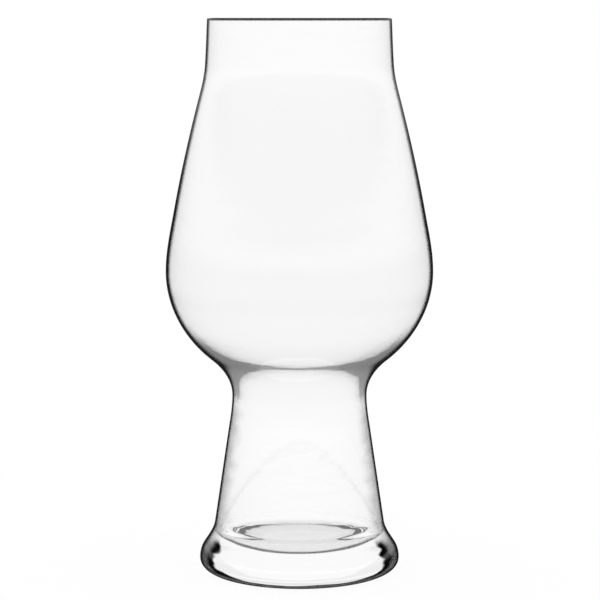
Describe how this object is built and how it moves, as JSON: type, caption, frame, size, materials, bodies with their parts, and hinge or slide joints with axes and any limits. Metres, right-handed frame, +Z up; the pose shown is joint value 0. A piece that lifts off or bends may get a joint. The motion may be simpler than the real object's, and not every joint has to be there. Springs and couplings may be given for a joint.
{
  "type": "beer glass",
  "caption": "Tall clear beer glass: tulip bowl with an upright lip on a hollow, flared stem and a thick round foot.",
  "frame": {"origin": "centre of the foot, on the plane that the glass stands on", "axes": "+Z up along the axis of the glass, through the middle of the rim; X and Y lie level"},
  "size_m": [0.0874, 0.0874, 0.1817],
  "materials": {
    "glass": "clear, smooth, fire-polished at the rim"
  },
  "bodies": {
    "root": {"glass": "glass"}
  },
  "joints": []
}
